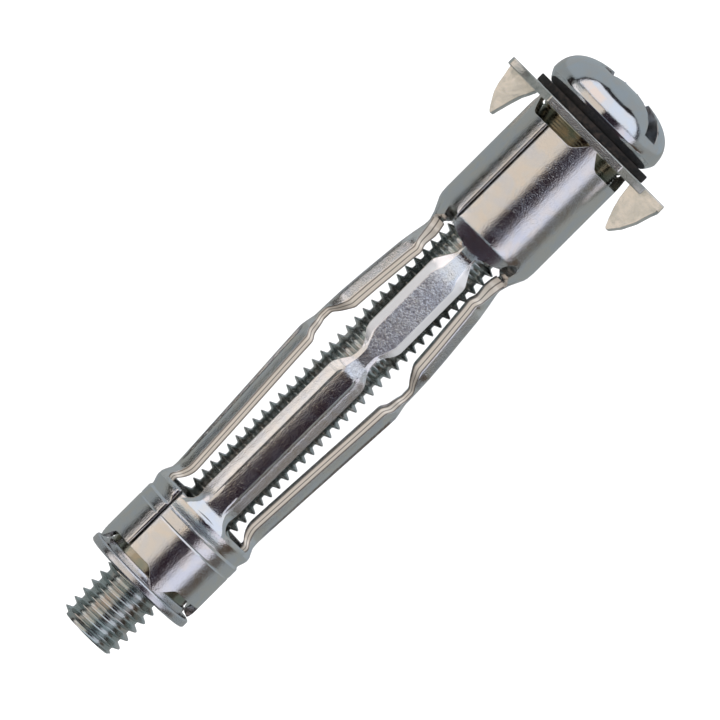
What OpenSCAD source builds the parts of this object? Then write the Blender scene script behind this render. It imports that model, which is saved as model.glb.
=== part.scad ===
// Hollow-wall anchor, 6 x 52: a one-piece slotted sleeve that folds into four
// legs behind the board when the screw pulls the nut towards the flange.
// The row's origin is on the axis, on the wall side of the flange plate. The
// screw head points to -Y, the sleeve to +Y. Each piece is drawn standing up,
// head on top and z = 0 at the wall, and is laid along +Y by in_row().

/* [Screw] */
// Crest diameter of the M6 thread
thread_d = 5.8; // [5.6:0.1:5.9]
// Length under the head
screw_length = 60; // [58:1:70]
// Widest diameter of the pan head
head_d = 11.75; // [11:0.05:12]
// Height of the pan head
head_h = 4.35; // [4:0.05:4.6]
// Width of the driver slot and of the cross arms
slot_w = 1.6; // [1.2:0.1:1.8]
// Depth of the driver slot below the crown
slot_depth = 2.1; // [1.5:0.1:2.4]
// Direction of the slot about the axis
slot_turn = -46; // [-90:1:90]

/* [Washer] */
// Outer diameter of the retaining washer
washer_d = 12.3; // [12:0.1:14]
// Thickness of the retaining washer
washer_t = 0.75; // [0.5:0.05:1]

/* [Flange plate] */
// Thickness of the plate and its claws
flange_t = 0.75; // [0.6:0.05:1]
// Half of the length across the claws
flange_reach = 8.75; // [8:0.05:9.5]
// Half of the width across the straight sides
flange_half_w = 6; // [5.6:0.1:7]
// How far the claws reach into the board
claw_h = 4; // [3:0.1:5]
// Turn of each claw blade from the plate's long direction
claw_turn = -24; // [-35:1:-10]

/* [Sleeve] */
// Outer diameter of both collars
sleeve_d = 10.25; // [10:0.05:10.6]
// Sheet thickness
sheet_t = 0.7; // [0.6:0.05:0.8]
// Depth of the whole sleeve behind the flange
sleeve_length = 51.75; // [50:0.25:53]
// Length of the front collar before it tapers
front_collar_length = 11.5; // [10:0.5:12]
// Length of the rear collar
rear_collar_length = 7.55; // [6:0.05:9]
// Turn of the tabs and tongues from the legs
tab_turn = 8.5; // [0:0.5:20]
// Turn of the rolled sheet's seam from a leg
seam_turn = -35.5; // [-60:0.5:-25]

/* [Folding legs] */
// Axis to the front fold
fold_front_r = 3.8; // [3.7:0.05:4]
// Depth of the front fold
fold_front_z = 13.9; // [13.5:0.1:14.5]
// Axis to the middle fold
fold_mid_r = 4.95; // [4.7:0.05:5.1]
// Depth of the middle fold
fold_mid_z = 25.6; // [24:0.1:27]
// Axis to the rear fold
fold_rear_r = 4.4; // [4.3:0.05:4.6]
// Width of the narrow strip at a fold
neck_w = 1.8; // [1.4:0.1:2]
// Width of a leg's panels
panel_w = 3.6; // [3:0.1:3.8]
// Angle between the two panels of a leg when the anchor is fully set
set_angle = 57; // [50:1:70]

/* [Nut] */
// Diameter of the rear plate
nut_flange_d = 10.6; // [10.3:0.1:11]
// Thickness of the rear plate
nut_flange_t = 0.8; // [0.6:0.1:1.2]
// Outer diameter of the hub inside the rear collar
nut_hub_d = 8.7; // [8.2:0.1:8.8]
// Length of the hub inside the rear collar
nut_hub_length = 5.2; // [4:0.1:6]

/* [Hidden] */
$fn = 64;

zinc = "#b9bec4";
zinc_dark = "#8f959c";
fibre = "#2b2724";

half_t = sheet_t / 2;
sleeve_r = sleeve_d / 2;
bore_r = thread_d / 2 + 0.05;      // running fit on the crests
play = 0.05;                       // gap at every fold
washer_z = flange_t;
head_z = washer_z + washer_t;
crown_r = 14;                      // radius of the head's domed top
spigot_r = sleeve_r - sheet_t - 0.1;
spigot_h = 1.5;
seat_h = 0.05;                     // shallow seat that holds the collar's tabs
hole_turn = 45;                    // slots lie halfway between the legs
fold_rear_z = sleeve_length - rear_collar_length - half_t - play;
front_lean = atan2(fold_mid_r - fold_front_r, fold_mid_z - fold_front_z);
rear_lean = atan2(fold_rear_r - fold_mid_r, fold_rear_z - fold_mid_z);
front_len = norm([fold_mid_r - fold_front_r, fold_mid_z - fold_front_z]);
rear_len = norm([fold_rear_r - fold_mid_r, fold_rear_z - fold_mid_z]);
foot_len = 3.6;                    // part of the rear panel that turns with the nut end
wedge = tan(set_angle / 2);        // room that a folded panel leaves beside the middle fold
flange_edge = 1.03;                // inner edge of a panel's bent sides, below the sheet

// Lays a piece drawn standing up along +Y, head to -Y.
module in_row() rotate([90, 0, 0]) children();

// Turns a piece drawn on the +X side to leg number k's place.
module at_leg(k) rotate([0, 0, 90 * k]) children();

// A ring of wall between two radii and two depths.
module tube(r_out, r_in, z_top, z_bottom)
  translate([0, 0, z_bottom]) difference() {
    cylinder(r = r_out, h = z_top - z_bottom);
    translate([0, 0, -1]) cylinder(r = r_in, h = z_top - z_bottom + 2);
  }

// Pan head: a round rim under a shallow dome.
module head_profile() {
  rim_r = head_d / 2;
  rim_h = 1.7;
  foot_r = 5.4;
  dome_z = head_h - crown_r;
  shoulder_r = 4.6;
  polygon(concat(
    [[0, 0], [foot_r, 0]],
    [for (a = [-60:20:0]) [foot_r - 0.2 + (rim_r - foot_r + 0.2) * cos(a), rim_h + 1.6 * sin(a)]],
    [for (a = [15:15:60]) [shoulder_r + (rim_r - shoulder_r) * cos(a), rim_h + 2.15 * sin(a)]],
    [for (a = [16:-4:0]) [crown_r * sin(a), dome_z + crown_r * cos(a)]]
  ));
}

// Full-width slot crossed by a short arm, with a conical middle.
module drive_recess() {
  arm_reach = 3.6;
  floor_z = head_h - slot_depth;
  translate([-head_d, -slot_w / 2, floor_z]) cube([2 * head_d, slot_w, head_h]);
  translate([-slot_w / 2, -arm_reach, floor_z]) cube([slot_w, 2 * arm_reach, head_h]);
  translate([0, 0, head_h - 3]) cylinder(r1 = 0.6, r2 = 2.2, h = 3.1);
}

module screw() color(zinc) in_row() {
  tip_h = 0.9;
  translate([0, 0, head_z]) {
    difference() {
      rotate_extrude() head_profile();
      rotate([0, 0, slot_turn]) drive_recess();
    }
    translate([0, 0, tip_h - screw_length]) cylinder(d = thread_d, h = screw_length - tip_h + 0.5);
    translate([0, 0, -screw_length]) cylinder(d1 = thread_d - 2 * tip_h, d2 = thread_d, h = tip_h);
  }
}

module washer() color(fibre) in_row()
  tube(washer_d / 2, thread_d / 2 + 0.1, head_z, washer_z);

// Six-sided plate with an ear at each end, drawn through its half turn.
module plate_outline() {
  half = [
    [-flange_reach, -2], [-6.7, -3], [-4.5, -flange_half_w], [3.8, -flange_half_w],
    [6.5, -3.3], [flange_reach - 0.05, -4.3]
  ];
  polygon(concat(half, [for (p = half) -p]));
}

// Pointed blade, drawn flat: its root runs along x, its tip points to -y.
module claw_outline() {
  root = 3.4;
  tip = [1.25, -claw_h];
  polygon(concat(
    [[0, 0], [root - 0.2, 0]],
    [for (a = [15:15:75]) [tip[0] + (root - 0.2 - tip[0]) * cos(a), -claw_h * sin(a)]],
    [tip, [0.75, -2.1], [0.15, -1]]
  ));
}

module flange_plate() color(zinc) in_row() {
  claw_root = [5.6, -2.9];
  difference() {
    linear_extrude(flange_t) plate_outline();
    translate([0, 0, -1]) cylinder(r = bore_r + 0.15, h = flange_t + 2);
    translate([0, 0, -1]) cylinder(r = sleeve_r + 0.075, h = 1 + seat_h);
  }
  tube(spigot_r, spigot_r - 0.8, seat_h + 0.01, -spigot_h);
  for (side = [0, 180])
    rotate([0, 0, side]) translate(claw_root) rotate([90, 0, claw_turn])
      translate([0, 0.01, -flange_t]) linear_extrude(flange_t) claw_outline();
}

// Window between two of the collar's tabs, cut through the wall from outside.
module tab_window(depth, narrow, wide) {
  top = sleeve_r * sin(narrow);
  low = sleeve_r * sin(wide);
  rotate([90, 0, 90]) linear_extrude(sleeve_d)
    polygon([[-top, 1], [-top, -0.1], [-low, -depth], [low, -depth], [top, -0.1], [top, 1]]);
}

// Head of the slot between two legs: a round hole that widens to both folds.
module slot_head() {
  hole_r = 0.9;
  hole_z = front_collar_length + 0.74;
  side = 2.15;
  rotate([90, 0, 90]) linear_extrude(sleeve_d) {
    translate([0, -hole_z]) circle(hole_r);
    polygon([
      [hole_r, -hole_z], [side, -hole_z - 1.1], [side, -hole_z - 3],
      [-side, -hole_z - 3], [-side, -hole_z - 1.1], [-hole_r, -hole_z]
    ]);
  }
}

module seam(z_top, z_bottom)
  rotate([0, 0, 90 + seam_turn])
    translate([0, -0.05, z_bottom]) cube([sleeve_d, 0.1, z_top - z_bottom]);

module front_collar() color(zinc) in_row() difference() {
  end_z = fold_front_z - half_t - play;
  rotate_extrude() polygon([
    [sleeve_r - sheet_t, seat_h], [sleeve_r, seat_h], [sleeve_r, -front_collar_length],
    [fold_front_r + half_t + 0.1, -end_z], [fold_front_r - half_t + 0.1, -end_z],
    [sleeve_r - sheet_t, -front_collar_length + 0.1]
  ]);
  for (k = [0:3]) {
    rotate([0, 0, tab_turn + hole_turn + 90 * k]) tab_window(1.3, 38, 31);
    rotate([0, 0, hole_turn + 90 * k]) slot_head();
  }
  seam(1, -front_collar_length - 2);
}

// Section of a leg panel: flat back and two bent sides. x is towards the axis.
module panel_section() {
  back = 1.2;
  edge = panel_w / 2;
  polygon([
    [half_t, -back], [half_t, back], [-0.6, edge], [-half_t - flange_edge, edge],
    [-half_t, back - 0.35], [-half_t, 0.35 - back], [-half_t - flange_edge, -edge], [-0.6, -edge]
  ]);
}

// Outline of a panel seen from outside: narrow at the folds, full width between.
module panel_outline(length, top_neck, low_neck) {
  n = neck_w / 2;
  w = panel_w / 2;
  taper = 1.6;
  polygon([
    [-n, 1], [n, 1], [n, -top_neck], [w, -top_neck - taper], [w, -length + low_neck + taper],
    [n, -length + low_neck], [n, -length - 1], [-n, -length - 1], [-n, -length + low_neck],
    [-w, -length + low_neck + taper], [-w, -top_neck - taper], [-n, -top_neck]
  ]);
}

// Strip with a round end at z = 0, of the full sheet thickness.
module fold_strip(length, width) {
  rotate([90, 0, 0]) translate([0, 0, -width / 2]) cylinder(r = half_t, h = width);
  translate([-half_t, -width / 2, -length]) cube([sheet_t, width, length]);
}

// Room beyond the line that halves the fold, on the axis side of a fold at z = 0.
module folded_room(rise)
  rotate([90, 0, 0]) translate([0, 0, -panel_w]) linear_extrude(2 * panel_w)
    polygon([[play, -play], [-rise * wedge, rise], [-rise, rise], [-rise, -play]]);

// Panel from the front fold to the middle fold, drawn hanging from z = 0.
module front_panel() {
  end = half_t + play;
  difference() {
    union() {
      fold_strip(2, neck_w);
      intersection() {
        translate([0, 0, -front_len]) linear_extrude(front_len - 0.45) panel_section();
        rotate([90, 0, 90]) translate([0, 0, -5]) linear_extrude(10) panel_outline(front_len, 0.6, 0.7);
      }
    }
    translate([0, 0, -front_len]) {
      rotate([90, 0, 0]) translate([0, 0, -panel_w]) cylinder(r = end, h = 2 * panel_w);
      translate([-3, -panel_w, -1]) cube([6, 2 * panel_w, 1]);
      rotate([0, -set_angle, 0]) translate([end - 6, -panel_w, -1]) cube([6, 2 * panel_w, 9]);
      folded_room(4);
    }
  }
}

// Panel from the middle fold towards the rear fold, drawn hanging from z = 0.
module rear_panel() {
  cut = rear_len - foot_len;
  difference() {
    union() {
      fold_strip(2, neck_w);
      intersection() {
        translate([0, 0, -cut]) linear_extrude(cut - 0.45) panel_section();
        rotate([90, 0, 90]) translate([0, 0, -5]) linear_extrude(10) panel_outline(cut + 4, 0.7, 0);
      }
    }
    mirror([0, 0, 1]) difference() {
      folded_room(4);
      translate([-half_t - 0.01, -panel_w, -1]) cube([panel_w, 2 * panel_w, 6]);
    }
  }
}

// Last stretch of a leg, down to the rear fold, drawn standing on z = 0.
module foot_strip() mirror([0, 0, 1]) {
  fold_strip(1.2, panel_w - 0.4);
  translate([0, 0, -foot_len + play]) linear_extrude(foot_len - play - 0.8) panel_section();
}

module front_leg(k) color(zinc) in_row() at_leg(k)
  translate([fold_front_r, 0, -fold_front_z]) rotate([0, -front_lean, 0]) front_panel();

module rear_leg(k) color(zinc) in_row() at_leg(k)
  translate([fold_mid_r, 0, -fold_mid_z]) rotate([0, -rear_lean, 0]) rear_panel();

module foot(k) color(zinc_dark) in_row() at_leg(k)
  translate([fold_rear_r, 0, -fold_rear_z]) rotate([0, -rear_lean, 0]) foot_strip();

// Tongue window above the nut's flange, the front windows' shape upside down.
module rear_window()
  translate([0, 0, -sleeve_length]) mirror([0, 0, 1]) tab_window(1.15, 33, 29);

module rear_collar() color(zinc) in_row() difference() {
  top_z = rear_collar_length - sleeve_length;
  bead_r = sleeve_r + 0.08;
  rotate_extrude() polygon([
    [sleeve_r - sheet_t, -sleeve_length], [sleeve_r, -sleeve_length], [sleeve_r, top_z - 1.5],
    [bead_r, top_z - 1], [bead_r, top_z - 0.3], [bead_r - 0.25, top_z], [sleeve_r - sheet_t, top_z]
  ]);
  for (k = [0:3])
    rotate([0, 0, tab_turn + hole_turn + 90 * k]) rear_window();
  seam(1 - fold_rear_z, -sleeve_length - 1);
}

module threaded_nut() color(zinc_dark) in_row() difference() {
  union() {
    translate([0, 0, -sleeve_length - nut_flange_t]) cylinder(d = nut_flange_d, h = nut_flange_t);
    translate([0, 0, -sleeve_length - 0.1]) cylinder(d = nut_hub_d, h = nut_hub_length + 0.1);
  }
  translate([0, 0, -sleeve_length - nut_flange_t - 1])
    cylinder(r = bore_r, h = nut_hub_length + nut_flange_t + 2);
}

screw();
washer();
flange_plate();
front_collar();
front_leg(0);  // leg_1_front_panel
rear_leg(0);  // leg_1_rear_panel
foot(0);  // leg_1_foot
front_leg(1);  // leg_2_front_panel
rear_leg(1);  // leg_2_rear_panel
foot(1);  // leg_2_foot
front_leg(2);  // leg_3_front_panel
rear_leg(2);  // leg_3_rear_panel
foot(2);  // leg_3_foot
front_leg(3);  // leg_4_front_panel
rear_leg(3);  // leg_4_rear_panel
foot(3);  // leg_4_foot
rear_collar();
threaded_nut();
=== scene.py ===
import math
import bpy
import numpy as np
from mathutils import Matrix, Vector


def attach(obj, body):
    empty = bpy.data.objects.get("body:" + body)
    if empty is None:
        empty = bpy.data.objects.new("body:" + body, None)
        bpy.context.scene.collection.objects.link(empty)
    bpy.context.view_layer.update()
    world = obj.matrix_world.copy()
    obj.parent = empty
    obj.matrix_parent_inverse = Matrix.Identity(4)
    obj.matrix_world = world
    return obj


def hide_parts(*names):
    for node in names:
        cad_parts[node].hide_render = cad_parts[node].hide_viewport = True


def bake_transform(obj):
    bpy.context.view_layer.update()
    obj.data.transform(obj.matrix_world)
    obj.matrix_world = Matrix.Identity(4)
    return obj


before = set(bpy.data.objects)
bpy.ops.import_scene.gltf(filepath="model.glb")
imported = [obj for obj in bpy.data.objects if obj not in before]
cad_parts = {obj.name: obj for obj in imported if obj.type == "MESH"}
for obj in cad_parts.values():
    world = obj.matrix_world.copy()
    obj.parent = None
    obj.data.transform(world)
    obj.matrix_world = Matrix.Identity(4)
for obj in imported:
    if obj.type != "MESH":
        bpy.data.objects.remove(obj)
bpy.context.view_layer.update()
print("frame loaded")

# Pieces are drawn standing up in millimetres, head on top and the wall at z = 0, then laid along +Y in metres.
layAlong = Matrix.Rotation(math.radians(90), 4, "X") @ Matrix.Scale(0.001, 4)


def pickOnly(piece):
    if bpy.context.mode != "OBJECT":
        bpy.ops.object.mode_set(mode="OBJECT")
    bpy.ops.object.select_all(action="DESELECT")
    if piece:
        piece.select_set(True)
        bpy.context.view_layer.objects.active = piece


def editAll(piece):
    pickOnly(piece)
    bpy.ops.object.mode_set(mode="EDIT")
    bpy.ops.mesh.select_all(action="SELECT")


def applyModifiers(piece):
    pickOnly(piece)
    for modifier in list(piece.modifiers):
        bpy.ops.object.modifier_apply(modifier=modifier.name)


def turned(name, outline, steps=96):
    # a lathe piece: one vertex is drawn out along the outline and spun round the axis
    pickOnly(None)
    bpy.ops.mesh.primitive_plane_add(size=1, location=(0, 0, 0))
    piece = bpy.context.object
    piece.name = name
    bpy.ops.object.mode_set(mode="EDIT")
    bpy.ops.mesh.select_all(action="SELECT")
    bpy.ops.mesh.merge(type="CENTER")
    bpy.ops.transform.translate(value=(outline[0][0], 0, outline[0][1]))
    for (r0, z0), (r1, z1) in zip(outline, outline[1:]):
        bpy.ops.mesh.extrude_region_move(TRANSFORM_OT_translate={"value": (r1 - r0, 0, z1 - z0)})
    bpy.ops.mesh.select_all(action="SELECT")
    bpy.ops.mesh.spin(steps=steps, angle=2 * math.pi, center=(0, 0, 0), axis=(0, 0, 1))
    bpy.ops.mesh.select_all(action="SELECT")
    bpy.ops.mesh.remove_doubles(threshold=0.0005)
    bpy.ops.mesh.normals_make_consistent(inside=False)
    bpy.ops.object.mode_set(mode="OBJECT")
    return piece


def prism(name, outline, depth, place=Matrix.Identity(4)):
    # a flat outline drawn out upwards, then put in place
    pickOnly(None)
    bpy.ops.mesh.primitive_circle_add(vertices=len(outline), radius=1, fill_type="NGON", location=(0, 0, 0))
    piece = bpy.context.object
    piece.name = name
    for vertex, (x, y) in zip(piece.data.vertices, outline):
        vertex.co = (x, y, 0)
    editAll(piece)
    bpy.ops.mesh.extrude_region_move(TRANSFORM_OT_translate={"value": (0, 0, depth)})
    bpy.ops.mesh.select_all(action="SELECT")
    bpy.ops.mesh.normals_make_consistent(inside=False)
    bpy.ops.object.mode_set(mode="OBJECT")
    piece.data.transform(place)
    return piece


def combine(piece, tool, kind):
    boolean = piece.modifiers.new("combine", "BOOLEAN")
    boolean.operation, boolean.solver, boolean.object = kind, "EXACT", tool
    applyModifiers(piece)
    bpy.data.objects.remove(tool, do_unlink=True)


def joinTo(piece, *others):
    pickOnly(piece)
    for other in others:
        other.select_set(True)
    bpy.ops.object.join()


def clean(piece, gap=0.01):
    editAll(piece)
    bpy.ops.mesh.remove_doubles(threshold=gap)
    bpy.ops.mesh.select_all(action="SELECT")
    bpy.ops.mesh.dissolve_limited(angle_limit=math.radians(0.6))
    bpy.ops.object.mode_set(mode="OBJECT")


def soften(piece, width, segments=2, angle=30):
    bevel = piece.modifiers.new("edges", "BEVEL")
    bevel.width, bevel.segments, bevel.limit_method = width, segments, "ANGLE"
    bevel.angle_limit, bevel.use_clamp_overlap = math.radians(angle), False
    applyModifiers(piece)


def smooth(piece, angle=35):
    pickOnly(piece)
    bpy.ops.object.shade_smooth_by_angle(angle=math.radians(angle))


def evenNormals(piece):
    # broad faces keep their own direction beside the rounded edges
    weighted = piece.modifiers.new("evenNormals", "WEIGHTED_NORMAL")
    weighted.keep_sharp, weighted.weight = True, 80
    applyModifiers(piece)


def settle(piece, material, slot, *nodes):
    piece.data.transform(layAlong)
    if material:
        piece.data.materials.clear()
        piece.data.materials.append(material)
    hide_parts(*nodes)


def aboutZ(degrees):
    return Matrix.Rotation(math.radians(degrees), 4, "Z")


def arc(centre, radius, start, end, count):
    turns = np.radians(np.linspace(start, end, count))
    return [(centre[0] + radius * math.cos(a), centre[1] + radius * math.sin(a)) for a in turns]


# Materials

def newGroup(name, inputs, outputs):
    group = bpy.data.node_groups.new(name, "ShaderNodeTree")
    for label, kind, value in inputs:
        socket = group.interface.new_socket(label, in_out="INPUT", socket_type=kind)
        if value is not None:
            socket.default_value = value
    for label, kind in outputs:
        group.interface.new_socket(label, in_out="OUTPUT", socket_type=kind)
    nodes = group.nodes
    return group, nodes.new("NodeGroupInput").outputs, nodes.new("NodeGroupOutput").inputs


def add(tree, kind, links=(), **settings):
    # one node with its settings, and links as {input: socket or value}
    node = tree.nodes.new("ShaderNode" + kind)
    for key, value in settings.items():
        setattr(node, key, value)
    for key, value in dict(links).items():
        if isinstance(value, bpy.types.NodeSocket):
            tree.links.new(value, node.inputs[key])
        else:
            node.inputs[key].default_value = value
    return node


def buildPlating():
    # fine grain, cloudy tint and small pits of electroplated zinc
    group, given, out = newGroup("zincPlating", [
        ("Vector", "NodeSocketVector", None), ("Grain per metre", "NodeSocketFloat", 9000.0),
        ("Cloud per metre", "NodeSocketFloat", 600.0), ("Pits per metre", "NodeSocketFloat", 3500.0)],
        [("Tint", "NodeSocketFloat"), ("Dull", "NodeSocketFloat"), ("Height", "NodeSocketFloat")])
    grain = add(group, "TexNoise", {"Vector": given["Vector"], "Scale": given["Grain per metre"], "Detail": 3.0})
    cloud = add(group, "TexNoise", {"Vector": given["Vector"], "Scale": given["Cloud per metre"], "Detail": 4.0,
                                    "Distortion": 0.6})
    pits = add(group, "TexVoronoi", {"Vector": given["Vector"], "Scale": given["Pits per metre"]})
    pitDepth = add(group, "MapRange", {"Value": pits.outputs["Distance"], "From Min": 0.05, "From Max": 0.3})
    height = add(group, "Math", {0: pitDepth.outputs["Result"], 1: 0.3, 2: grain.outputs["Fac"]},
                 operation="MULTIPLY_ADD")
    dull = add(group, "Math", {0: grain.outputs["Fac"], 1: cloud.outputs["Fac"]}, operation="MULTIPLY")
    group.links.new(cloud.outputs["Fac"], out["Tint"])
    group.links.new(dull.outputs["Value"], out["Dull"])
    group.links.new(height.outputs["Value"], out["Height"])
    return group


def buildPressed():
    # hammered speckle of a die face, where the piece's own attribute says so
    group, given, out = newGroup("dieSpeckle", [
        ("Vector", "NodeSocketVector", None), ("Amount", "NodeSocketFloat", 0.0),
        ("Speckles per metre", "NodeSocketFloat", 5200.0)],
        [("Height", "NodeSocketFloat"), ("Dark", "NodeSocketFloat")])
    cells = add(group, "TexVoronoi", {"Vector": given["Vector"], "Scale": given["Speckles per metre"],
                                      "Randomness": 1.0}, feature="SMOOTH_F1")
    rough = add(group, "TexNoise", {"Vector": given["Vector"], "Scale": given["Speckles per metre"], "Detail": 4.0,
                                    "Distortion": 1.2})
    height = add(group, "Math", {0: cells.outputs["Distance"], 1: rough.outputs["Fac"]}, operation="ADD")
    scaled = add(group, "Math", {0: height.outputs["Value"], 1: given["Amount"]}, operation="MULTIPLY")
    dark = add(group, "MapRange", {"Value": rough.outputs["Fac"], "From Min": 0.42, "From Max": 0.62,
                                   "To Min": 1.0, "To Max": 0.0})
    masked = add(group, "Math", {0: dark.outputs["Result"], 1: given["Amount"]}, operation="MULTIPLY")
    group.links.new(scaled.outputs["Value"], out["Height"])
    group.links.new(masked.outputs["Value"], out["Dark"])
    return group


plating, dieSpeckle = buildPlating(), buildPressed()


def zincFinish(name, cool, warm, shade, roughFrom, roughTo, bump, speckle=0.0, metal=1.0):
    material = bpy.data.materials.new(name)
    material.use_nodes = True
    tree = material.node_tree
    shader = tree.nodes["Principled BSDF"]
    shader.inputs["Metallic"].default_value = metal
    place = add(tree, "TexCoord").outputs["Object"]
    skin = add(tree, "Group", {"Vector": place}, node_tree=plating)
    tint = add(tree, "ValToRGB", {"Fac": skin.outputs["Tint"]})
    tint.color_ramp.elements[0].position, tint.color_ramp.elements[0].color = 0.38, (*warm, 1)
    tint.color_ramp.elements[1].position, tint.color_ramp.elements[1].color = 0.62, (*cool, 1)
    middle = tint.color_ramp.elements.new(0.5)
    middle.color = (*shade, 1)
    dull = add(tree, "MapRange", {"Value": skin.outputs["Dull"], "From Min": 0.15, "From Max": 0.4,
                                  "To Min": roughFrom, "To Max": roughTo})
    sway = add(tree, "TexNoise", {"Vector": place, "Scale": 520.0, "Detail": 2.0, "Distortion": 0.4})
    bent = add(tree, "Bump", {"Height": sway.outputs["Fac"], "Strength": 1.0, "Distance": 0.000022})
    relief = add(tree, "Bump", {"Height": skin.outputs["Height"], "Strength": bump, "Distance": 0.00002,
                                "Normal": bent.outputs["Normal"]})
    colour, normal, roughness = tint.outputs["Color"], relief.outputs["Normal"], dull.outputs["Result"]
    if speckle:
        worked = add(tree, "Attribute", attribute_name="pressed")
        die = add(tree, "Group", {"Vector": place, "Amount": worked.outputs["Fac"]}, node_tree=dieSpeckle)
        deep = add(tree, "Bump", {"Height": die.outputs["Height"], "Strength": speckle, "Distance": 0.00004,
                                  "Normal": normal})
        mixed = add(tree, "Mix", {0: die.outputs["Dark"], 6: colour, 7: (0.36, 0.34, 0.38, 1)},
                    data_type="RGBA", blend_type="MIX")
        cut, edgeShadeLines, rubbed = (add(tree, "Attribute", attribute_name=k).outputs["Fac"]
                             for k in ("sheared", "edgeShadeLines", "burnished"))
        # the near-black tone paints shade lines along the legs' cut edges; the other two are the rubbed and sheared
        # finishes
        for share, tone in ((rubbed, (0.88, 0.86, 0.87, 1)), (cut, (0.72, 0.65, 0.57, 1)), (edgeShadeLines, (0.06, 0.045, 0.035, 1))):
            mixed = add(tree, "Mix", {0: share, 6: mixed.outputs[2], 7: tone}, data_type="RGBA")
        milky = add(tree, "Math", {0: rubbed, 1: -0.4, 2: 1.0}, operation="MULTIPLY_ADD")
        milkier = add(tree, "Math", {0: cut, 1: -0.3, 2: milky.outputs[0]}, operation="MULTIPLY_ADD")
        tree.links.new(milkier.outputs[0], shader.inputs["Metallic"])
        for share, level in ((worked.outputs["Fac"], 0.3), (rubbed, 0.25), (cut, 0.42)):
            roughness = add(tree, "Mix", {0: share, 2: roughness, 3: level}, data_type="FLOAT").outputs[0]
        colour, normal = mixed.outputs[2], deep.outputs["Normal"]
    tree.links.new(colour, shader.inputs["Base Color"])
    tree.links.new(roughness, shader.inputs["Roughness"])
    tree.links.new(normal, shader.inputs["Normal"])
    return material


zincHead = zincFinish("brightZincHead", (0.76, 0.79, 0.84), (0.80, 0.77, 0.76), (0.77, 0.78, 0.80), 0.09, 0.17, 0.2)
# darker copy of the head's zinc for the thread: painted shade, standing in for the shadow the legs cast on the thread
shadedThreadFinish = zincFinish("brightZincThreadPaintedShade", (0.52, 0.57, 0.56), (0.62, 0.58, 0.54), (0.54, 0.57, 0.56), 0.14, 0.28, 0.3)
zincPlate = zincFinish("brightZincPlate", (0.60, 0.61, 0.58), (0.86, 0.83, 0.78), (0.74, 0.73, 0.69), 0.12, 0.24, 0.9,
                       metal=0.97)
# darker copy of the zinc: painted shade for the recessed spigot and nut hub seen through the sleeve's windows
paintedShadeZinc = zincFinish("shadedZinc", (0.30, 0.33, 0.28), (0.45, 0.40, 0.31), (0.36, 0.36, 0.30), 0.12, 0.24, 0.3)
zincSleeve = zincFinish("brightZincSleeve", (0.80, 0.81, 0.85), (0.86, 0.82, 0.78), (0.83, 0.82, 0.82), 0.11, 0.2,
                        0.75, speckle=0.42)
zincNut = zincFinish("brightZincNut", (0.70, 0.72, 0.76), (0.78, 0.74, 0.73), (0.74, 0.73, 0.75), 0.16, 0.32, 0.35)


def fibreFinish():
    material = bpy.data.materials.new("blackFibre")
    material.use_nodes = True
    tree = material.node_tree
    shader = tree.nodes["Principled BSDF"]
    place = add(tree, "TexCoord").outputs["Object"]
    mottle = add(tree, "TexNoise", {"Vector": place, "Scale": 2600.0, "Detail": 5.0, "Distortion": 0.8})
    tint = add(tree, "ValToRGB", {"Fac": mottle.outputs["Fac"]})
    tint.color_ramp.elements[0].position, tint.color_ramp.elements[0].color = 0.4, (0.002, 0.002, 0.002, 1)
    tint.color_ramp.elements[1].position, tint.color_ramp.elements[1].color = 0.72, (0.022, 0.016, 0.013, 1)
    fibres = add(tree, "TexNoise", {"Vector": place, "Scale": 9000.0, "Detail": 3.0})
    dull = add(tree, "MapRange", {"Value": fibres.outputs["Fac"], "To Min": 0.55, "To Max": 0.9})
    relief = add(tree, "Bump", {"Height": fibres.outputs["Fac"], "Strength": 0.5, "Distance": 0.00003})
    tree.links.new(tint.outputs["Color"], shader.inputs["Base Color"])
    tree.links.new(dull.outputs["Result"], shader.inputs["Roughness"])
    tree.links.new(relief.outputs["Normal"], shader.inputs["Normal"])
    return material


blackFibre = fibreFinish()
print("materials ready")

# Screw: pan head with its recess, and a rolled thread

screw = {
    "headFoot": 1.5, "headDiameter": 11.75, "headHeight": 4.35, "slotWidth": 1.6,
    "slotDepth": 2.1, "slotTurn": -46, "length": 60.0, "crestRadius": 2.9, "rootRadius": 2.36, "pitch": 1.0,
    "pointHeight": 0.5,
}


def makeHead():
    rim, height = screw["headDiameter"] / 2, screw["headHeight"]
    outline = [(0, -0.8), (2.6, -0.8), (2.6, 0), (5.12, 0), (5.28, 0.08), (5.48, 0.3), (5.66, 0.58), (5.8, 0.84)]
    outline += [(rim * math.cos(t) ** (2 / 2.8), 1.05 + (height - 1.05) * math.sin(t) ** (2 / 2.4))
                for t in np.radians(np.append(np.linspace(0, 85, 30), (87.5, 89)))]
    outline.append((0, height))
    head = turned("panHeadScrew", outline, 128)
    floor = height - screw["slotDepth"]
    half = screw["slotWidth"] / 2
    slot = prism("slotCutter", [(-9, -half), (9, -half), (9, half), (-9, half)], 6,
                 aboutZ(screw["slotTurn"]) @ Matrix.Translation((0, 0, floor)))
    combine(head, slot, "DIFFERENCE")
    cross = prism("armCutter", [(-half, -3.6), (half, -3.6), (half, 3.6), (-half, 3.6)], 6,
                  aboutZ(screw["slotTurn"]) @ Matrix.Translation((0, 0, floor + 0.15)))
    combine(head, cross, "DIFFERENCE")
    cone = turned("coneCutter", [(0, height - 3), (0.6, height - 3), (2.2, height + 0.1), (2.2, 6), (0, 6)], 48)
    combine(head, cone, "DIFFERENCE")
    clean(head)
    soften(head, 0.07, 2, 38)
    head.data.transform(Matrix.Translation((0, 0, screw["headFoot"])))
    smooth(head)
    evenNormals(head)
    return head


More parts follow.
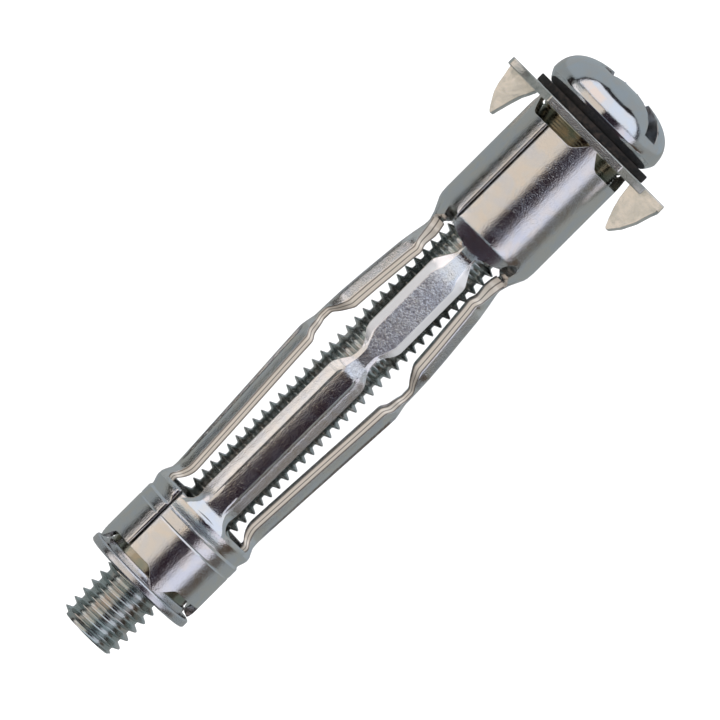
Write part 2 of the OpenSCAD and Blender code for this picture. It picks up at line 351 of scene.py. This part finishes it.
def makeThread():
    root, crest, pitch = screw["rootRadius"], screw["crestRadius"], screw["pitch"]
    flank = [(root, 0), (root, 0.16), (root + 0.05, 0.24), (crest - 0.06, 0.445), (crest, 0.49), (crest, 0.55),
             (crest - 0.06, 0.595), (root + 0.05, 0.80), (root, 0.88), (root, 1.0)]
    turns = int(screw["length"] + 2)
    top = screw["headFoot"] + 0.2
    bottom = screw["headFoot"] - screw["length"]
    pickOnly(None)
    bpy.ops.mesh.primitive_plane_add(size=1, location=(0, 0, 0))
    thread = bpy.context.object
    thread.name = "rolledThread"
    bpy.ops.object.mode_set(mode="EDIT")
    bpy.ops.mesh.select_all(action="SELECT")
    bpy.ops.mesh.merge(type="CENTER")
    bpy.ops.transform.translate(value=(root, 0, bottom - 1))
    for (r0, z0), (r1, z1) in zip(flank, flank[1:]):
        bpy.ops.mesh.extrude_region_move(TRANSFORM_OT_translate={"value": (r1 - r0, 0, (z1 - z0) * pitch)})
    bpy.ops.object.mode_set(mode="OBJECT")
    helix = thread.modifiers.new("helix", "SCREW")
    helix.axis, helix.angle, helix.screw_offset, helix.iterations = "Z", 2 * math.pi, pitch, turns + 1
    helix.steps = helix.render_steps = 36
    helix.use_merge_vertices, helix.merge_threshold = True, 0.001
    applyModifiers(thread)
    editAll(thread)
    bpy.ops.mesh.remove_doubles(threshold=0.001)
    for height, above in ((top, True), (bottom, False)):
        bpy.ops.mesh.select_all(action="SELECT")
        bpy.ops.mesh.bisect(plane_co=(0, 0, height), plane_no=(0, 0, 1), clear_outer=above, clear_inner=not above,
                            use_fill=True)
    bpy.ops.mesh.select_all(action="SELECT")
    bpy.ops.mesh.normals_make_consistent(inside=False)
    bpy.ops.object.mode_set(mode="OBJECT")
    point = screw["pointHeight"]
    envelope = turned("pointEnvelope", [(0, bottom + 0.001), (crest - point, bottom + 0.001), (crest + 0.1, bottom + point + 0.1),
                                        (crest + 0.1, top + 1), (0, top + 1)], 64)
    combine(thread, envelope, "INTERSECT")
    smooth(thread, 35)
    return thread


head = makeHead()
thread = makeThread()
head.data.materials.append(zincHead)
# the thread takes the darker zinc: painted shade
thread.data.materials.append(shadedThreadFinish)
joinTo(head, thread)
settle(head, None, "zinc_screw", "screw")
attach(head, "screw")
print("screw ready", len(head.data.polygons))

# Washer

washer = {"outer": 6.15, "inner": 3.05, "bottom": 0.76, "top": 1.49, "round": 0.1}


def makeWasher():
    outer, inner, bottom, top, turn = (washer[k] for k in ("outer", "inner", "bottom", "top", "round"))
    ring = [(inner, bottom), (outer - turn, bottom)] + arc((outer - turn, bottom + turn), turn, -60, 0, 3)
    ring += [(outer + 0.0, (bottom + top) / 2)] + arc((outer - turn, top - turn), turn, 0, 90, 4) + [(inner, top), (inner, bottom)]
    piece = turned("fibreWasher", ring, 96)
    smooth(piece)
    return piece


ring = makeWasher()
settle(ring, blackFibre, "black_fibre", "washer")
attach(ring, "washer")
print("washer ready")

# Flange plate with its claws and spigot

plate = {
    "thickness": 0.75, "outline": [(-8.75, -2), (-6.7, -3), (-4.5, -6), (3.8, -6), (6.5, -3.3), (8.7, -4.3)],
    "clawRoot": (5.6, -2.9), "clawTurn": -24, "spigotRadius": 4.38, "spigotDepth": 1.5,
    "edgeRound": 0.12,
    "blades": [
        [(2.74, 0.35), (2.74, 0), (2.68, -0.4), (2.58, -0.8), (2.42, -1.7), (2.2, -2.4), (1.95, -2.85), (1.6, -3.4),
         (1.25, -3.88), (1.1, -4.0), (0.98, -3.9), (0.82, -3.3), (0.5, -2.2), (0.18, -1.25), (-0.15, -0.65),
         (-0.42, -0.1), (-0.42, 0.35)],
        [(3.14, 0.35), (3.14, -0.1), (2.92, -0.6), (2.5, -1.9), (1.86, -3.1), (1.2, -3.88), (1.03, -4.0), (0.88, -3.9),
         (0.55, -3.2), (0.2, -2.3), (-0.08, -1.3), (-0.24, -0.1), (-0.24, 0.35)],
    ],
}


def makePlate():
    thick = plate["thickness"]
    half = plate["outline"]
    body = prism("clawedPlate", half + [(-x, -y) for x, y in half], thick)
    claws = []
    for side, blade in zip((0, 180), plate["blades"]):
        place = (aboutZ(side) @ Matrix.Translation((*plate["clawRoot"], 0)) @ aboutZ(plate["clawTurn"])
                 @ Matrix.Rotation(math.radians(90), 4, "X") @ Matrix.Translation((0, 0, -thick)))
        claws.append(prism("claw", blade, thick, place))
        soften(claws[-1], 0.07, 2, 40)
    hole = turned("holeCutter", [(0, -2), (3.1, -2), (3.1, 3), (0, 3)], 64)
    combine(body, hole, "DIFFERENCE")
    clean(body)
    soften(body, plate["edgeRound"], 3, 30)
    outer, depth = plate["spigotRadius"], plate["spigotDepth"]
    rings = [(outer - (0.14 if k % 2 else 0), -depth + 0.12 + 0.13 * k) for k in range(11)]
    spigot = turned("spigot", [(outer - 0.8, 0.1), (outer - 0.8, -depth), (outer - 0.15, -depth)] + rings
                    + [(outer, 0.1), (outer - 0.8, 0.1)], 80)
    body.data.materials.append(zincPlate)
    # the spigot takes the darker zinc: painted shade inside the collar
    spigot.data.materials.append(paintedShadeZinc)
    for claw in claws:
        claw.data.materials.append(zincPlate)
    joinTo(body, spigot, *claws)
    smooth(body)
    evenNormals(body)
    return body


body = makePlate()
settle(body, None, "zinc_plate", "flange_plate")
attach(body, "wall_end")
print("plate ready")

# Sleeve: both collars

collar = {
    "outer": 5.125, "sheet": 0.7, "frontLength": 11.5, "frontEnd": 13.5, "endRadius": 4.3, "tabTurn": 12.5,
    "seamTurn": 54.5, "seamGap": 0.06, "seamRound": 0.3, "holeDepth": 12.24, "holeRadius": 0.75,
    "windowDepth": 1.3, "rearTop": 44.2, "rearEnd": 51.75, "beadRadius": 5.22, "scoreDepth": 46.9,
    "tongueDepth": 1.3,
}
onLeg = Matrix.Rotation(math.radians(90), 4, "Z") @ Matrix.Rotation(math.radians(90), 4, "X")


def facing(degrees):
    # turns a flat outline (x sideways, y up) to look outwards at this angle about the axis
    return aboutZ(degrees) @ onLeg


def cutSeam(piece, top, bottom):
    gap, turn, outer = collar["seamGap"], collar["seamRound"], collar["outer"]
    groove = [(3, -gap), (outer - 0.32, -gap), (outer - 0.12, -gap - 0.06), (outer + 0.02, -turn), (outer + 1, -turn)]
    groove += [(x, -y) for x, y in reversed(groove)]
    combine(piece, prism("seamCutter", groove, top - bottom,
                         aboutZ(collar["seamTurn"]) @ Matrix.Translation((0, 0, bottom))), "DIFFERENCE")


def makeFrontCollar():
    outer, sheet = collar["outer"], collar["sheet"]
    end, endRadius, length = collar["frontEnd"], collar["endRadius"], collar["frontLength"]
    outline = [(outer - sheet, 0.05), (outer - 0.05, 0.05), (outer, 0), (outer, -0.2), (outer, -length + 1.1), (outer, -length + 0.6),
                (outer - 0.05, -length)]
    outline += [(outer - 0.14, -length - 0.35), (endRadius + 0.12, -end + 0.45), (endRadius - 0.02, -end)]
    outline += [(endRadius - 1.15, -end), (outer - sheet - 0.9, -11.9), (outer - sheet, -10.9),
                (outer - sheet, 0.05)]
    piece = turned("frontCollar", outline, 144)
    wide, mid, low, depth = 3.26, 2.66, 2.2, collar["windowDepth"]
    window = [(-wide, 1), (-wide, -0.15), (-mid - 0.12, -depth + 0.42), (-mid + 0.12, -depth + 0.14), (-low, -depth),
              (low, -depth), (mid - 0.12, -depth + 0.14), (mid + 0.12, -depth + 0.42), (wide, -0.15), (wide, 1)]
    hole, radius = -collar["holeDepth"], collar["holeRadius"]
    slot = arc((0, hole), radius, -25, 205, 20)
    slot += [(-1.25, hole - 0.6), (-2.1, hole - 0.85), (-2.42, hole - 1.3), (-2.42, hole - 3),
             (2.42, hole - 3), (2.42, hole - 1.3), (2.1, hole - 0.85), (1.25, hole - 0.6)]
    for k in range(4):
        combine(piece, prism("windowCutter", window, 8, facing(collar["tabTurn"] + 45 + 90 * k)), "DIFFERENCE")
        combine(piece, prism("slotCutter", slot, 8, facing(45 + 90 * k)), "DIFFERENCE")
    cutSeam(piece, 1, -collar["frontEnd"])
    clean(piece)
    soften(piece, 0.05, 2, 32)
    smooth(piece)
    evenNormals(piece)
    return piece


def makeRearCollar():
    outer, sheet, bead = collar["outer"], collar["sheet"], collar["beadRadius"]
    top, end, score = -collar["rearTop"], -collar["rearEnd"], -collar["scoreDepth"]
    outline = [(outer - sheet, top), (outer - 0.14, top), (outer + 0.02, top - 0.12), (bead - 0.02, top - 0.34), (bead, top - 0.56),
               (bead - 0.05, top - 0.84), (bead - 0.14, top - 1.1), (outer - 0.13, top - 1.36), (outer - 0.15, top - 1.48),
               (outer - 0.08, top - 1.6)]
    outline += [(outer, top - 1.7), (outer, score + 0.09), (outer - 0.03, score + 0.06), (outer - 0.05, score),
                (outer - 0.03, score - 0.06), (outer, score - 0.09), (outer, score - 0.3), (outer, end + 0.3),
                (outer, end), (outer - sheet, end),
                (outer - sheet, top)]
    piece = turned("rearCollar", outline, 144)
    depth = collar["tongueDepth"]
    half = [(3.7, -1), (3.62, 0.02), (3.3, 0.2), (2.9, 0.62), (2.56, depth - 0.26), (2.36, depth - 0.08), (2.1, depth)]
    window = half + [(-x, y) for x, y in reversed(half)]
    for k in range(4):
        place = Matrix.Translation((0, 0, end)) @ facing(collar["tabTurn"] + 45 + 90 * k)
        combine(piece, prism("tongueCutter", window, 8, place), "DIFFERENCE")
    cutSeam(piece, top + 1, end - 1)
    clean(piece)
    soften(piece, 0.05, 2, 40)
    smooth(piece)
    evenNormals(piece)
    return piece


frontCollar = makeFrontCollar()
settle(frontCollar, zincSleeve, "zinc_sleeve", "front_collar")
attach(frontCollar, "wall_end")
rearCollar = makeRearCollar()
settle(rearCollar, zincSleeve, "zinc_sleeve", "rear_collar")
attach(rearCollar, "nut_end")
print("collars ready")

# Nut

nut = {"plateRadius": 5.3, "plate": 0.8, "hubRadius": 4.1, "ringRadius": 4.38, "ring": 0.55, "hub": 5.2, "bore": 2.95, "round": 0.22}


def makeNut():
    face = -collar["rearEnd"]
    rim, turn, plateHeight = nut["plateRadius"], nut["round"], nut["plate"]
    outline = [(nut["bore"], face + nut["hub"]), (nut["hubRadius"], face + nut["hub"]), (nut["hubRadius"], face + nut["ring"]),
               (nut["ringRadius"] - 0.2, face + nut["ring"]), (nut["ringRadius"] - 0.05, face + nut["ring"] - 0.06),
               (nut["ringRadius"], face + nut["ring"] - 0.2), (nut["ringRadius"], face + 0.02),
               (rim - turn, face - 0.0)]
    outline += arc((rim - turn, face - turn), turn, 80, 0, 5) + arc((rim - turn, face - plateHeight + turn), turn, 0, -85, 5)
    outline += [(nut["bore"] + 0.25, face - plateHeight), (nut["bore"], face - plateHeight + 0.25),
                (nut["bore"], face + nut["hub"])]
    piece = turned("nutWithPlate", outline, 128)
    smooth(piece)
    # faces above the ring's top (the hub) take the darker zinc as painted shade; the plate and ring side keep the nut's
    # zinc
    for finish in (zincNut, paintedShadeZinc):
        piece.data.materials.append(finish)
    for side in piece.data.polygons:
        side.material_index = int(side.center.z > face + nut["ring"] - 0.01)
    return piece


nutPiece = makeNut()
settle(nutPiece, None, "zinc_nut", "threaded_nut")
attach(nutPiece, "nut_end")
print("nut ready")

# Sleeve: the four legs. Each value is a list of (depth, value), eased between its points.

leg = {
    "sheet": 0.72,
    "back": [(12.6, 4.65), (13.2, 4.34), (13.9, 4.15), (14.4, 4.2), (15.6, 4.42), (17, 4.62), (21.2, 5.02),
             (23.3, 5.18), (25.0, 5.28), (26.2, 5.3), (27.6, 5.58), (30, 5.46), (37, 5.06), (43.0, 4.74), (43.6, 4.76),
             (44.3, 5.06), (44.8, 5.2), (46, 5.2)],
    "halfWidth": [(13.2, 0.80), (13.8, 0.78), (14.1, 0.84), (15.7, 1.78), (16, 1.83), (23.3, 1.83), (23.8, 1.68),
                  (24.4, 1.22), (25.0, 0.9), (25.9, 0.87), (26.4, 1.0), (27.0, 1.42), (27.6, 1.74), (28, 1.79),
                  (42.5, 1.77), (43.2, 1.66), (43.5, 1.68), (43.9, 1.86), (44.2, 2.2), (44.5, 2.7)],
    "halfFlat": [(13.2, 0.66), (13.9, 0.64), (14.3, 0.62), (15.7, 0.75), (16.1, 0.98), (16.6, 1.15), (23.3, 1.15),
                 (24.3, 0.75), (25.0, 0.48), (25.9, 0.48), (26.6, 0.6), (27.5, 0.8), (28, 1.0), (43, 1.0),
                 (43.6, 1.25), (44.4, 2.0)],
    "drop": [(13.2, 0.12), (14, 0.1), (15.7, 0.6), (16.2, 0.9), (23.3, 0.9), (24.4, 0.5), (25.0, 0.14), (25.9, 0.14),
             (26.6, 0.35), (27.6, 0.6), (42.6, 0.64), (43.3, 0.5), (43.9, 0.3), (44.5, 0.72)],
    "edge": [(13.2, 1.15), (14.4, 1.12), (15.4, 0.85), (16.2, 0.82), (23.3, 0.85), (25, 0.6), (25.9, 0.6), (27.6, 0.74), (43, 0.74),
             (44.4, 0.6)],
    "crown": [(27.25, 0.0), (27.8, 0.3), (42.2, 0.26), (43.2, 0.1), (43.7, 0.0)],
    "rubbed": (0.1, 1.0, 0.0, 0.7),
    "foldFront": 13.9, "foldMiddle": 25.6, "foldRear": 43.8, "bend": 0.55, "frontStart": 13.2, "middleStart": 24.8,
    "footStart": 40.2, "footEnd": 44.55,
}


def eased(key, depth):
    xs, ys = zip(*leg[key])
    return float(np.interp(depth + np.linspace(-0.16, 0.16, 7), xs, ys).mean())


def legSection(depth):
    # one closed loop round the bent sheet: x outwards from the axis, y across the leg, then its marks
    back, wide, flat, drop, edge, crown = (eased(k, depth) for k in ("back", "halfWidth", "halfFlat", "drop", "edge", "crown"))
    flat = min(flat, wide - 0.08)
    sheet = leg["sheet"]
    steps = (0.0, 0.3, 0.58, 0.74, 0.84, 0.92, 0.98)
    rib = np.interp(steps, (0, 0.5, 0.76, 0.94, 1), (0, 0.01, 0.1, 0.9, 1))
    half = [(back - crown * fall, flat * y, "die") for y, fall in zip(steps, rib)]
    low = back - crown
    side = low - drop
    half += [(low - drop * u ** 1.12, flat + (wide - flat) * u, "bend") for u in (0.06, 0.3, 0.6, 0.86)]
    # the "line" marks lie at the cut edge's borders and middle and carry painted shade lines
    half += [(side + 0.02, wide - 0.012, "bend"), (side - 0.04, wide, "line"), (side - 0.15, wide, "cut"),
             (side - edge * 0.4, wide + 0.01, "cut"), (side - edge * 0.48, wide + 0.004, "line"),
             (side - edge * 0.56, wide + 0.01, "cut"), (side - edge + 0.16, wide, "cut"), (side - edge + 0.04, wide, "line"),
             (side - edge, wide - 0.05, "")]
    inner = max(flat - 0.3, 0.2)
    half += [(low - sheet - 0.06, inner + 0.12, ""), (low - sheet, inner * 0.7, ""), (back - sheet, 0, "")]
    return half + [(x, -y, mark) for x, y, mark in reversed(half[1:-1])]


def loft(name, depths):
    # a cylinder subdivided along its length, each ring then set to the leg's section at its depth
    sections = [legSection(d) for d in depths]
    count, rows = len(sections[0]), len(depths)
    pickOnly(None)
    bpy.ops.mesh.primitive_cylinder_add(vertices=count, radius=1, depth=rows - 1, end_fill_type="NGON", location=(0, 0, 0))
    piece = bpy.context.object
    piece.name = name
    bpy.ops.object.mode_set(mode="EDIT")
    bpy.ops.mesh.select_mode(type="EDGE")
    bpy.ops.mesh.select_all(action="DESELECT")
    bpy.ops.object.mode_set(mode="OBJECT")
    vertices = piece.data.vertices
    for side in piece.data.edges:
        a, b = (vertices[i].co for i in side.vertices)
        side.select = abs(a.z - b.z) > 0.5
    bpy.ops.object.mode_set(mode="EDIT")
    bpy.ops.mesh.subdivide(number_cuts=rows - 2)
    bpy.ops.mesh.select_mode(type="VERT")
    bpy.ops.object.mode_set(mode="OBJECT")
    shares = {"pressed": [], "sheared": [], "edgeShadeLines": [], "burnished": []}
    for vertex in piece.data.vertices:
        row = round(vertex.co.z + (rows - 1) / 2)
        column = round(math.atan2(vertex.co.x, vertex.co.y) / (2 * math.pi) * count) % count
        x, y, mark = sections[row][column]
        depth = depths[row]
        vertex.co = (x, y, -depth)
        worked = np.interp(depth, (15.9, 16.5, 24.6, 25.3, 27.0, 28.5, 42, 43), (0, 0.6, 1, 0.5, 0.35, 0.12, 0.12, 0))
        rubbed = np.interp(depth, (14.0, 15.0, 23.6, 24.6, 27.6, 28.4, 41.5, 42.5), (0, 1, 1, 0.3, 0.3, 0.25, 0.25, 0))
        # the third share marks the painted shade lines on the cut edge
        for key, value in zip(shares, (worked * (mark == "die"), mark in ("cut", "line"), mark == "line", rubbed * (mark == "bend"))):
            shares[key].append(float(value))
    for key, values in shares.items():
        piece.data.attributes.new(key, "FLOAT", "POINT").data.foreach_set("value", values)
    editAll(piece)
    bpy.ops.mesh.normals_make_consistent(inside=False)
    bpy.ops.object.mode_set(mode="OBJECT")
    smooth(piece, 38)
    print(name, "vertices", len(piece.data.vertices), "of", rows * count)
    return piece


def depthsBetween(start, end):
    # close rings at folds and shoulders, wide ones along the straight stretches
    depths = [start]
    while depths[-1] < end - 0.12:
        d = depths[-1]
        straight = 17.0 < d < 22.8 or 28.6 < d < 42.0
        depths.append(min(d + (0.5 if straight else 0.1), end))
    depths[-1] = end
    return depths


def atLeg(piece, number):
    copy = piece.copy()
    copy.data = piece.data.copy()
    bpy.context.scene.collection.objects.link(copy)
    copy.data.transform(aboutZ(90 * (number - 1)))
    shares = np.zeros(len(copy.data.vertices), dtype=np.float32)
    copy.data.attributes["burnished"].data.foreach_get("value", shares)
    copy.data.attributes["burnished"].data.foreach_set("value", shares * leg["rubbed"][number - 1])
    return copy


upper = loft("legUpper", depthsBetween(leg["frontStart"], leg["middleStart"]))
lower = loft("legLower", depthsBetween(leg["middleStart"], leg["footStart"]))
heel = loft("legHeel", depthsBetween(leg["footStart"], leg["footEnd"]))
for number in (1, 2, 3, 4):
    for pattern, label, node, bodies, fold, radius, flip in (
        (upper, "frontPanel", "front_panel", ("wall_end", "leg_{}_front"), "foldFront", 3.8, 1),
        (lower, "rearPanel", "rear_panel", ("leg_{}_front", "leg_{}_rear"), "foldMiddle", 4.95, 1),
        (heel, "foot", "foot", ("nut_end", "leg_{}_foot_end"), "foldRear", 4.4, -1),
    ):
        piece = atLeg(pattern, number)
        piece.name = f"leg{number}_{label}"
        settle(piece, zincSleeve, "zinc_sleeve", f"leg_{number}_{node}")
        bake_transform(piece)
for pattern in (upper, lower, heel):
    bpy.data.objects.remove(pattern, do_unlink=True)
print("legs ready")

# Floor, light and camera

studio = {"floor": -0.03, "floorSize": 4.0, "aim": (0.0, 0.0262, 0.0), "eye": (0.0327, 0.0, 0.749), "lens": 450.0}

bpy.ops.object.select_all(action="DESELECT")
bpy.ops.mesh.primitive_plane_add(size=studio["floorSize"], location=(0, 0, studio["floor"]))
floor = bpy.context.object
floor.name = "studioFloor"
paper = bpy.data.materials.new("palePaper")
paper.use_nodes = True
paperShader = paper.node_tree.nodes["Principled BSDF"]
paperShader.inputs["Roughness"].default_value = 0.9
paperGrain = add(paper.node_tree, "TexNoise", {"Scale": 300.0, "Detail": 3.0})
paperTint = add(paper.node_tree, "ValToRGB", {"Fac": paperGrain.outputs["Fac"]})
paperTint.color_ramp.elements[0].color, paperTint.color_ramp.elements[1].color = (0.93, 0.93, 0.93, 1), (0.96, 0.96, 0.96, 1)
paper.node_tree.links.new(paperTint.outputs["Color"], paperShader.inputs["Base Color"])
floor.data.materials.append(paper)
floor.visible_glossy = False

# Soft light round the object. Each patch: centre and half size in degrees (across, towards the head), colour, strength.
softLight = {
    "plain": (0.285, 0.310, 0.310),
    "patches": [
        ((0, 62), (181, 52), (0.34, 0.38, 0.40), 1.0),
        ((-8, 41), (76, 34), (0.020, 0.018, 0.020), 1.0),
        ((-8, 35), (68, 24.5), (0.84, 0.90, 1.00), 1.0),
        ((-48, 26), (26, 13), (1.00, 0.90, 0.85), 1.0),
        ((-33, -14), (25, 22), (0.80, 0.72, 0.63), 0.95),
        ((-69, -17.5), (11, 18.5), (0.98, 0.92, 0.88), 1.0),
        ((-90, -14), (8, 22), (0.014, 0.012, 0.012), 1.0),
        ((46, -14), (18, 22), (0.86, 0.87, 0.98), 0.92),
        ((80, -17.5), (15, 18.5), (0.080, 0.062, 0.050), 1.0),
        ((9, -16), (17, 24), (0.022, 0.014, 0.022), 1.0),
        ((28, -14), (3, 22), (0.34, 0.32, 0.36), 1.0),
        ((0, -50), (70, 15), (0.050, 0.034, 0.046), 1.0),
        ((-6, -33), (70, 3), (0.42, 0.54, 0.60), 1.0),
        ((0, -66), (181, 13), (0.018, 0.018, 0.020), 1.0),
    ],
}


def lightRoom():
    world = bpy.data.worlds.new("studioLight")
    bpy.context.scene.world = world
    world.use_nodes = True
    tree = world.node_tree
    tree.nodes.clear()
    split = add(tree, "SeparateXYZ", {"Vector": add(tree, "TexCoord").outputs["Generated"]})
    x, y, z = (split.outputs[k] for k in "XYZ")
    across = add(tree, "Math", {0: add(tree, "Math", {0: x, 1: -1.0}, operation="MULTIPLY").outputs[0], 1: z},
                 operation="ARCTAN2").outputs[0]
    upward = add(tree, "Math", {0: add(tree, "Math", {0: y, 1: -1.0}, operation="MULTIPLY").outputs[0]},
                 operation="ARCSINE").outputs[0]
    colour = None
    for (a, e), (halfA, halfE), tint, strength in softLight["patches"]:
        masks = []
        for angle, centre, half in ((across, a, halfA), (upward, e, halfE)):
            off = add(tree, "Math", {0: angle, 1: math.radians(centre)}, operation="SUBTRACT")
            size = add(tree, "Math", {0: off.outputs[0]}, operation="ABSOLUTE")
            masks.append(add(tree, "MapRange", {"Value": size.outputs[0], "From Min": math.radians(half - 1.6),
                                                "From Max": math.radians(half + 1.6), "To Min": 1.0, "To Max": 0.0},
                             interpolation_type="SMOOTHSTEP").outputs["Result"])
        mask = add(tree, "Math", {0: masks[0], 1: masks[1]}, operation="MULTIPLY").outputs[0]
        before = colour if colour else (*softLight["plain"], 1)
        lit = tuple(c * strength for c in tint)
        colour = add(tree, "Mix", {0: mask, 6: before, 7: (*lit, 1)}, data_type="RGBA").outputs[2]
    seen = add(tree, "LightPath").outputs["Is Camera Ray"]
    shown = add(tree, "Mix", {0: seen, 6: colour, 7: (0.95, 0.95, 0.95, 1)}, data_type="RGBA").outputs[2]
    sky = add(tree, "Background", {"Color": shown, "Strength": 1.0})
    output = tree.nodes.new("ShaderNodeOutputWorld")
    tree.links.new(sky.outputs["Background"], output.inputs["Surface"])


lightRoom()


def addLamp(name, place, size, power, tint):
    bpy.ops.object.light_add(type="AREA", location=place)
    lamp = bpy.context.object
    lamp.name = name
    lamp.data.size, lamp.data.energy, lamp.data.color = size, power, tint
    lamp.rotation_euler = (Vector(studio["aim"]) - Vector(place)).to_track_quat("-Z", "Y").to_euler()
    return lamp


paperLamp = addLamp("paperLamp", (0.1, -0.2, 1.6), 2.0, 45.0, (1, 1, 1))
paperLamp.visible_glossy = False

bpy.ops.object.camera_add(location=studio["eye"])
camera = bpy.context.object
camera.data.lens, camera.data.clip_start, camera.data.clip_end = studio["lens"], 0.01, 20
towards = (Vector(studio["aim"]) - Vector(studio["eye"])).normalized()
upright = Vector((1, -1, 0)).normalized()
side = towards.cross(upright).normalized()
upright = side.cross(towards).normalized()
camera.matrix_world = Matrix.Translation(studio["eye"]) @ Matrix((side, upright, -towards)).transposed().to_4x4()
bpy.context.scene.camera = camera
bpy.context.scene.view_settings.view_transform = "Standard"
